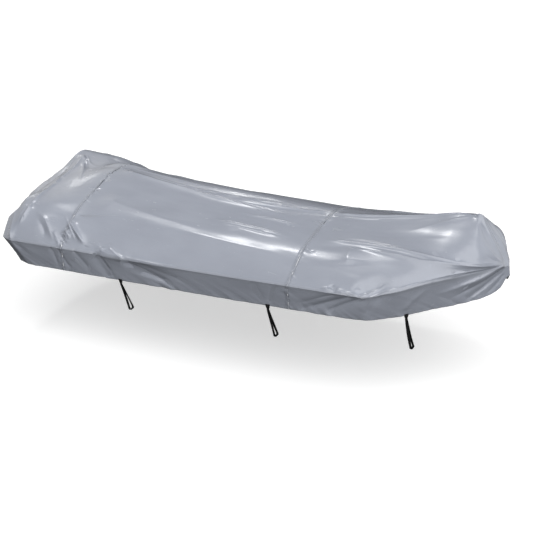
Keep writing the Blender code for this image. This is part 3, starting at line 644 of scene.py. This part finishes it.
def panel_sheet(cloth, rows, closed_nose):
    """A closed thin sheet between the outer and inner face of some rows of the cloth."""
    outer, inner = cloth.outer[rows], cloth.inner[rows].copy()
    if not closed_nose:    # no light comes through a seam
        inner[-1] += TONGUE * unit(inner[-1] - inner[-2]) + TUCK * (outer[-1] - inner[-1])
    count, columns = outer.shape[:2]
    number = np.arange(count * columns).reshape(count, columns)
    if closed_nose:
        number[-1, columns // 2 + 1:] = number[-1, :columns // 2][::-1]
    below = number + count * columns
    faces = []
    for grid, order in ((number, (0, 1, 2, 3)), (below, (3, 2, 1, 0))):
        corners = np.stack([grid[:-1, :-1], grid[1:, :-1], grid[1:, 1:], grid[:-1, 1:]], axis=2)
        faces.extend(corners.reshape(-1, 4)[:, order].tolist())
    end, last = (1, count - 2) if closed_nose else (-1, count - 1)
    edge, under = [np.concatenate([grid[:-1, 0], grid[-1, :end], grid[last:0:-1, -1],
                                   grid[0, :0:-1]]) for grid in (number, below)]
    rim = np.stack([np.roll(edge, -1), edge, under, np.roll(under, -1)], axis=1)
    used, faces = np.unique(np.array(faces + rim.tolist()), return_inverse=True)
    points = np.concatenate([outer.reshape(-1, 3), inner.reshape(-1, 3)])
    data = new_mesh("cloth", points[used], faces.reshape(-1, 4).tolist())
    place = np.stack([cloth.across[rows], cloth.along[rows], np.zeros((count, columns))], axis=2)
    give_attribute(data, "cloth_place", np.tile(place.reshape(-1, 3), (2, 1))[used])
    give_attribute(data, "cloth_wear_and_shade", np.tile(cloth.wear_and_shade[rows].ravel(), 2)[used])
    spare = np.ones((2, count, columns))
    spare[0] = np.where(cloth.girths > TURN_GIRTH, PORT_SHARE, 0.0)
    return thinned(data, spare.ravel()[used])


def thinned(data, spare):
    """The mesh, with triangles taken out where they can be spared, to what a panel may have."""
    triangles = sum(polygon.loop_total - 2 for polygon in data.polygons)
    obj = new_object("full", data)
    group = obj.vertex_groups.new(name="spare")
    for share in np.unique(spare):
        if share > 0:
            group.add(np.flatnonzero(spare == share).tolist(), float(share), "REPLACE")
    decimate = obj.modifiers.new("thin", "DECIMATE")
    decimate.ratio = PANEL_TRIANGLES / triangles
    decimate.vertex_group = group.name
    graph = bpy.context.evaluated_depsgraph_get()
    thin = bpy.data.meshes.new_from_object(obj.evaluated_get(graph))
    bpy.data.objects.remove(obj)
    bpy.data.meshes.remove(data)
    return thin


def tube_faces(ring, count, closed=False):
    """Faces of a tube of rings of points, with an end on it unless it is closed."""
    faces = []
    for k in range(count if closed else count - 1):
        after = (k + 1) % count
        for m in range(ring):
            n = (m + 1) % ring
            faces.append([ring * k + m, ring * k + n, ring * after + n, ring * after + m])
    if not closed:
        faces.append(list(range(ring - 1, -1, -1)))
        faces.append(list(range(ring * (count - 1), ring * count)))
    return faces


def stitch_mesh(centres, ahead, up, length, radius):
    """Many short stitches in one mesh: threads that come out of the cloth and go back."""
    sides = np.cross(up, ahead)
    rings = ((-.5, -.9, .55), (-.34, .25, 1.0), (.34, .25, 1.0), (.5, -.9, .55))
    ring = 6
    points = []
    for run, rise, swell in rings:
        for angle in np.linspace(0.0, 2 * math.pi, ring, endpoint=False):
            points.append(centres + run * length * ahead + rise * radius * up
                          + swell * radius * (math.cos(angle) * sides + math.sin(angle) * up))
    one = tube_faces(ring, len(rings))
    firsts = range(0, len(centres) * len(points), len(points))
    faces = [[first + v for v in face] for first in firsts for face in one]
    return new_mesh("stitches", np.stack(points, axis=1).reshape(-1, 3), faces)


def spread_along(path, up, pitch):
    """Evenly spaced centres on a path, with the way along it and the way up at each."""
    lengths = run_lengths(path)
    count = max(int(lengths[-1] / pitch), 1)
    spots = (np.arange(count) + .5) * lengths[-1] / count

    def read(values, places):
        return np.stack([np.interp(places, lengths, values[:, k]) for k in range(3)], axis=1)

    ahead = unit(read(path, spots + pitch / 4) - read(path, spots - pitch / 4))
    ups = read(up, spots)
    return read(path, spots), ahead, unit(ups - (ups * ahead).sum(axis=1, keepdims=True) * ahead)


def seam_thread(cloth, seam):
    """The two rows of stitches along the lap of a seam."""
    runs = []
    for distance in LAP_STITCHES:
        row = int(np.argmin(np.abs(cloth.ats - seam - distance)))
        low = row if cloth.ats[row] <= seam + distance else row - 1
        share = (seam + distance - cloth.ats[low]) / (cloth.ats[low + 1] - cloth.ats[low])
        path = (1 - share) * cloth.outer[low] + share * cloth.outer[low + 1]
        runs.append(spread_along(path[3:-3], cloth.normals[low][3:-3], STITCH_PITCH))
    return [np.concatenate(parts) for parts in zip(*runs)]


def hem_thread(cloth):
    """The row of stitches that holds the turned hem, from the nose round the stern and back."""
    side = HEM_STEPS.index(HEM_STITCHES)
    rows = np.flatnonzero(cloth.ats < NOSE_ROWS[0])
    from_stern = cloth.along[:, cloth.crown]
    first = int(np.argmin(np.abs(from_stern - HEM_STITCHES)))
    last_column = len(cloth.girths) - 1 - side
    path, up = [], []
    for grid, line in ((cloth.outer, path), (cloth.normals, up)):
        line.append(grid[rows[rows >= first][::-1], side])
        line.append(grid[first, side + 1:last_column])
        line.append(grid[rows[rows >= first], last_column])
    return spread_along(np.concatenate(path), np.concatenate(up), HEM_STITCH_PITCH)


def tab_edges(place):
    """Where the two edges of a tab lie, which are TAB_WIDTH apart along the hem."""
    step = 0.001
    behind, ahead = smooth_cover([place - step, place + step], [-HEM])[:, 0]
    half = TAB_WIDTH * step / np.linalg.norm(ahead - behind)
    return place - half, place + half


def tab_frame(cloth, place, side):
    """The hem under a tab: its middle, and the ways along the hem, up the skirt and out."""
    column = -HEM if side < 0 else HEM
    aft, fore = (cloth.read(cloth.outer, at, column) for at in tab_edges(place))
    middle = (aft + fore) / 2
    above = sum(cloth.read(cloth.outer, at, column - side * .12) for at in tab_edges(place)) / 2
    along = unit(fore - aft)
    up = unit(above - middle)
    out = unit(np.cross(along, up))
    return middle, along, unit(up - (up @ along) * along), out * np.sign(out[1] * middle[1])


def ribbon(path, width_ways, face_ways, widths, thick, closed, across_steps):
    """Webbing swept along a path: its points, its faces, and each point's place on the webbing."""
    turns = np.linspace(-1.0, 1.0, across_steps)
    rim = np.sqrt(np.clip(1 - np.abs(turns) ** 8, 0.0, 1.0)) * .5
    shape = [*zip(turns, rim), *zip(turns[-2:0:-1], -rim[-2:0:-1])]
    lengths = run_lengths(path)
    points, places = [], []
    for k, centre in enumerate(path):
        for t, r in shape:
            points.append(centre + t * widths[k] / 2 * width_ways[k] + r * thick * face_ways[k])
            places.append((lengths[k], t * widths[k] / 2, r))
    return np.array(points), tube_faces(len(shape), len(path), closed), np.array(places)


def webbing_piece(name, swept, mat, node):
    """A piece of webbing that stands for a node."""
    points, faces, places = swept
    data = new_mesh(name, points, faces)
    give_attribute(data, "webbing_place", places)
    return add_piece(name, data, mat, (node,), WEBBING_SHARP)


def add_tab(cloth, name, place, side, mat, thread):
    """A tab of doubled webbing, sewn over the hem, which narrows to the strap in its fold."""
    middle, along, up, out = tab_frame(cloth, place, side)
    lies, depths = profile(TAB_LIES, TAB_ROWS), profile(TAB_DEPTHS, TAB_ROWS)
    path = np.array([middle - row * up + (TAB_CLEAR + lie) * out
                     for row, lie in zip(TAB_ROWS, lies)])
    swept = ribbon(path, np.tile(along, (len(path), 1)), depths[:, None] / TAB_FULL * out,
                   profile(TAB_WIDTHS, TAB_ROWS), TAB_FULL, closed=False, across_steps=13)
    tab = webbing_piece(f"{name}_webbing", swept, mat, name)

    runs = []
    face = TAB_CLEAR + TAB_LAY + TAB_FULL / 2
    box = zip(TAB_CORNERS, TAB_CORNERS[1:] + TAB_CORNERS[:1])
    for ends in [*box, TAB_CORNERS[::2], TAB_CORNERS[1::2]]:
        line = np.array([middle + a * along + b * up + face * out for a, b in ends])
        runs.append(spread_along(line, np.array([out, out]), TAB_PITCH))
    data = stitch_mesh(*[np.concatenate(parts) for parts in zip(*runs)], TAB_STITCH, TAB_THREAD)
    sewn = add_piece(f"{name}_stitches", data, thread)
    return tab, sewn, middle - TAB_BELOW_HEM * up + (TAB_CLEAR + TAB_THICK / 2) * out, along


def belt(circles, bend_steps, leg_steps):
    """Points and outward normals of a loop pulled tight round circles, given clockwise."""
    points, normals = [], []
    leaving = []
    for (start, radius), (end, next_radius) in zip(circles, circles[1:] + circles[:1]):
        ahead = unit(end - start)
        left = np.array([-ahead[1], ahead[0]])
        lean = (radius - next_radius) / np.linalg.norm(end - start)
        leaving.append(lean * ahead + math.sqrt(1 - lean ** 2) * left)
    for k, (centre, radius) in enumerate(circles):
        next_centre, next_radius = circles[(k + 1) % len(circles)]
        first = math.atan2(leaving[k - 1][1], leaving[k - 1][0])
        turn = (first - math.atan2(leaving[k][1], leaving[k][0])) % (2 * math.pi)
        for step in range(bend_steps + 1):
            angle = first - turn * step / bend_steps
            normals.append(np.array([math.cos(angle), math.sin(angle)]))
            points.append(centre + radius * normals[-1])
        leg_start = points[-1]
        leg_end = next_centre + next_radius * leaving[k]
        for share in np.linspace(0.0, 1.0, leg_steps + 1)[1:-1]:
            normals.append(leaving[k])
            points.append((1 - share) * leg_start + share * leg_end)
    return np.array(points), np.array(normals)


def add_strap(name, top, along, seed, mat):
    """A webbing strap that hangs under its tab and goes once round a rail."""
    rng = np.random.default_rng(seed)
    side = math.copysign(1.0, top[1])
    neck = np.array([abs(top[1]), top[2] - GAP - STRAP_THICK / 2 - NECK_RADIUS])
    outboard = np.array([abs(top[1]) - RAIL_INBOARD - RAIL_CORNER, HEM_Z - RAIL_DROP + RAIL_CORNER])
    inboard = outboard - np.array([RAIL_WIDTH - 2 * RAIL_CORNER, 0.0])
    path, normals = belt([(neck, NECK_RADIUS), (outboard, RAIL_CORNER), (inboard, RAIL_CORNER)],
                         bend_steps=8, leg_steps=26)
    upright, ahead = np.array([0.0, 0.0, 1.0]), np.array([1.0, 0.0, 0.0])
    sway, bow, phase = rng.uniform(-.004, .004), rng.uniform(.001, .003), rng.uniform(0, 6.3)
    places, width_ways, face_ways = [], [], []
    for (y, z), (out_part, up_part) in zip(path, normals):
        height = float(np.clip((z - outboard[1]) / (neck[1] - outboard[1]), 0.0, 1.0))
        belly = math.sin(math.pi * height)
        twist = .22 * belly * math.sin(2.4 * height + phase)
        width = unit(ahead + ease(height) * (along - ahead))
        up = unit(upright - (upright @ width) * width)
        normal = up_part * up - side * out_part * np.cross(width, up)
        width_ways.append(unit(width + twist * normal))
        face_ways.append(unit(normal - twist * width))
        place = np.array([top[0] + sway * belly, side * y, z])
        places.append(place - bow * belly * (1 + .4 * math.sin(5 * height + phase)) * normal * .5)
    swept = ribbon(np.array(places), width_ways, face_ways, np.full(len(places), WEBBING),
                   STRAP_CLOTH, closed=True, across_steps=11)
    return webbing_piece(f"{name}_webbing", swept, mat, name)


def give(tree, socket, value):
    """Link a socket to another, or set it to a plain value."""
    if isinstance(value, bpy.types.NodeSocket):
        tree.links.new(value, socket)
    else:
        socket.default_value = value


def feed(tree, node, **inputs):
    """Give a node its inputs by name."""
    for key, value in inputs.items():
        give(tree, node.inputs[key.replace("_", " ")], value)


def add_node(tree, kind, settings=(), **inputs):
    node = tree.nodes.new(f"ShaderNode{kind}")
    for key, value in dict(settings).items():
        setattr(node, key, value)
    feed(tree, node, **inputs)
    return node


def new_material(name):
    mat = bpy.data.materials.new(name)
    mat.use_nodes = True
    return mat, mat.node_tree, mat.node_tree.nodes["Principled BSDF"]


def ramp(tree, source, stops):
    """A colour that follows a number, through stops of (place, colour)."""
    node = add_node(tree, "ValToRGB", Fac=source)
    elements = node.color_ramp.elements
    while len(elements) < len(stops):
        elements.new(0.5)
    for element, (place, colour) in zip(elements, stops):
        element.position = place
        element.color = (*colour, 1.0)
    return node.outputs["Color"]


def in_range(tree, source, low, high):
    """The number from 0 to 1, stretched to go from low to high."""
    return add_node(tree, "MapRange", Value=source, To_Min=low,
                    To_Max=high).outputs["Result"]


def noise(tree, vector, scale, detail, roughness=.5):
    return add_node(tree, "TexNoise", Vector=vector, Scale=scale, Detail=detail,
                    Roughness=roughness).outputs["Fac"]


def stretched(tree, vector, scale):
    return add_node(tree, "Mapping", Vector=vector, Scale=scale).outputs["Vector"]


def bands(tree, vector, direction, scale, distortion, detail):
    return add_node(tree, "TexWave", {"wave_type": "BANDS", "bands_direction": direction,
                                      "wave_profile": "SIN"}, Vector=vector, Scale=scale,
                    Distortion=distortion, Detail=detail).outputs["Fac"]


def bump(tree, height, distance, strength, **before):
    """A bump, on top of the one that may be given as Normal."""
    return add_node(tree, "Bump", Height=height, Distance=distance, Strength=strength,
                    **before).outputs["Normal"]


def maths(tree, operation, first, second):
    node = add_node(tree, "Math", {"operation": operation})
    give(tree, node.inputs[0], first)
    give(tree, node.inputs[1], second)
    return node.outputs["Value"]


def times(tree, first, second):
    return maths(tree, "MULTIPLY", first, second)


def mixed(tree, share, first, second):
    node = add_node(tree, "Mix", {"data_type": "RGBA"})
    for key, value in (("Factor_Float", share), ("A_Color", first), ("B_Color", second)):
        give(tree, next(s for s in node.inputs if s.identifier == key), value)
    return next(s for s in node.outputs if s.identifier == "Result_Color")


def room_place(tree):
    return add_node(tree, "TexCoord").outputs["Object"]


def attribute(tree, name, output):
    return add_node(tree, "Attribute", {"attribute_name": name}).outputs[output]


def cloth_material():
    """Silver-grey coated cloth: a fine weave under a smooth, slightly uneven coating."""
    mat, tree, shader = new_material("coated_cloth_fine")
    place, room = attribute(tree, "cloth_place", "Vector"), room_place(tree)
    wear_and_shade = attribute(tree, "cloth_wear_and_shade", "Fac")

    clouds = noise(tree, stretched(tree, room, (1.2, 2.2, 2.2)), 2.4, 3.0)
    mottle = noise(tree, room, 70.0, 4.0, .6)
    base = ramp(tree, clouds, ((.30, (.286, .305, .355)), (.72, (.311, .332, .384))))
    base = mixed(tree, in_range(tree, mottle, 0.0, .22), base, (.260, .274, .312, 1.0))
    # Painted shade mixed with dust: this darker colour is strongest at the hem, the seams and the
    # edge line. It stands partly for dirt and partly for the shade that falls there, and it also
    # makes the coating rougher.
    dust_and_shade = times(tree, wear_and_shade, in_range(tree, noise(tree, room, 26.0, 4.0, .6), .15, .75))
    rub = noise(tree, stretched(tree, room, (4.0, 11.0, 11.0)), 1.6, 5.0, .6)

    weave = [bands(tree, place, direction, 390.0, .4, 1.0) for direction in "XY"]
    crinkle = noise(tree, stretched(tree, room, (9.0, 26.0, 26.0)), 1.0, 6.0, .55)
    normal = bump(tree, crinkle, .0016, .10)
    normal = bump(tree, noise(tree, room, 210.0, 3.0, .6), .0002, .25, Normal=normal)
    feed(tree, shader,
         Base_Color=mixed(tree, dust_and_shade, base, (.190, .202, .222, 1.0)),
         Roughness=maths(tree, "ADD", in_range(tree, rub, .22, .30), times(tree, dust_and_shade, .22)),
         Normal=bump(tree, times(tree, *weave), .00010, .30, Normal=normal),
         Specular_IOR_Level=.55, Coat_Weight=.22, Coat_Roughness=.14)
    return mat


def webbing_material():
    """Black woven webbing with ribs along it and a fine twill."""
    mat, tree, shader = new_material("black_webbing_fine")
    place = attribute(tree, "webbing_place", "Vector")
    ribs = bands(tree, place, "X", 190.0, .6, 2.0)
    twill = bands(tree, place, "DIAGONAL", 210.0, .3, 1.0)
    fluff = noise(tree, room_place(tree), 160.0, 5.0, .65)
    normal = bump(tree, times(tree, ribs, twill), .00035, .8)
    feed(tree, shader,
         Base_Color=ramp(tree, fluff, ((.30, (.004, .004, .005)), (.80, (.014, .014, .015)))),
         Roughness=in_range(tree, fluff, .55, .80),
         Normal=bump(tree, fluff, .0003, .3, Normal=normal), Specular_IOR_Level=.25)
    return mat


def thread_material(name, dark, light):
    mat, tree, shader = new_material(name)
    strands = noise(tree, room_place(tree), 420.0, 3.0, .6)
    feed(tree, shader, Base_Color=ramp(tree, strands, ((.3, dark), (.75, light))),
         Roughness=in_range(tree, strands, .5, .75), Normal=bump(tree, strands, .0002, .6))
    return mat


def floor_material():
    mat, tree, shader = new_material("studio_floor")
    patches = noise(tree, room_place(tree), 1.3, 4.0)
    feed(tree, shader,
         Base_Color=ramp(tree, patches, ((.2, (.64, .64, .64)), (.8, (.66, .66, .66)))),
         Emission_Color=(1.0, 1.0, 1.0, 1.0), Emission_Strength=.50, Roughness=.9,
         Specular_IOR_Level=.1)
    return mat


def add_floor():
    half = FLOOR_SIZE / 2
    corners = np.array([(-half, -half, FLOOR_Z), (half, -half, FLOOR_Z), (half, half, FLOOR_Z),
                        (-half, half, FLOOR_Z)])
    data = new_mesh("floor", corners, [[0, 1, 2, 3]])
    data.materials.append(floor_material())
    floor = new_object("floor", data)
    floor.visible_diffuse = floor.visible_glossy = False


def add_camera():
    back = Vector((math.sin(CAMERA_TURN) * math.cos(CAMERA_TILT),
                   -math.cos(CAMERA_TURN) * math.cos(CAMERA_TILT), math.sin(CAMERA_TILT)))
    data = bpy.data.cameras.new("camera")
    data.sensor_fit = "HORIZONTAL"
    data.sensor_width = CAMERA_SENSOR
    data.lens = CAMERA_LENS
    camera = new_object("camera", data)
    camera.location = Vector(CAMERA_AIM) + CAMERA_DISTANCE * back
    camera.rotation_euler = back.to_track_quat("Z", "Y").to_euler()
    bpy.context.scene.camera = camera


def add_lights():
    for name, (direction, spread, strength) in SUNS.items():
        data = bpy.data.lights.new(name, "SUN")
        data.angle = math.radians(spread)
        data.energy = strength
        light = new_object(name, data)
        light.rotation_euler = Vector(direction).to_track_quat("Z", "Y").to_euler()

    for name, (start, end, width, power) in STRIPS.items():
        start, end = Vector(start), Vector(end)
        data = bpy.data.lights.new(name, "AREA")
        data.shape = "RECTANGLE"
        data.size, data.size_y = (end - start).length, width
        data.energy = power
        middle, along = (start + end) / 2, (end - start).normalized()
        back = middle.normalized()
        new_object(name, data).matrix_world = Matrix.Translation(middle) @ Matrix(
            (along, back.cross(along), back)).transposed().to_4x4()

    world = bpy.data.worlds.new("studio")
    world.use_nodes = True
    background = world.node_tree.nodes["Background"]
    background.inputs["Color"].default_value = WORLD_COLOUR
    background.inputs["Strength"].default_value = WORLD_STRENGTH
    bpy.context.scene.world = world
    bpy.context.scene.view_settings.view_transform = "Standard"


def build():
    add_camera()
    cloth = Cloth()
    coated, webbing = cloth_material(), webbing_material()
    grey_thread = thread_material("grey_thread", (.070, .076, .086), (.110, .118, .131))
    black_thread = thread_material("black_thread", (.012, .012, .013), (.045, .045, .048))

    for name, seam in (("stern", STERN_SEAM), ("bow", BOW_SEAM)):
        data = stitch_mesh(*seam_thread(cloth, seam), STITCH_LENGTH, THREAD_RADIUS)
        add_piece(f"{name}_seam_stitches", data, grey_thread)
    data = stitch_mesh(*hem_thread(cloth), STITCH_LENGTH, THREAD_RADIUS)
    hem = add_piece("hem_stitches", data, grey_thread)

    tabs = {"middle": [], "bow": []}
    for number, (place, panel) in enumerate(zip(TIE_PLACES, ("middle", "middle", "bow")), start=1):
        for side_name, side in (("starboard", -1), ("port", 1)):
            tab, sewn, foot, along = add_tab(cloth, f"{side_name}_tab_{number}", place, side,
                                             webbing, black_thread)
            strap = add_strap(f"{side_name}_strap_{number}", foot, along, 10 * number + side,
                              webbing)
            tabs[panel] += [tab, sewn, strap]

    for name, rows in cloth.spans().items():
        data = panel_sheet(cloth, rows, closed_nose=name == "bow")
        sheet = add_piece(f"{name}_cloth", data, coated, (f"{name}_panel",))
    add_floor()
    add_lights()


build()
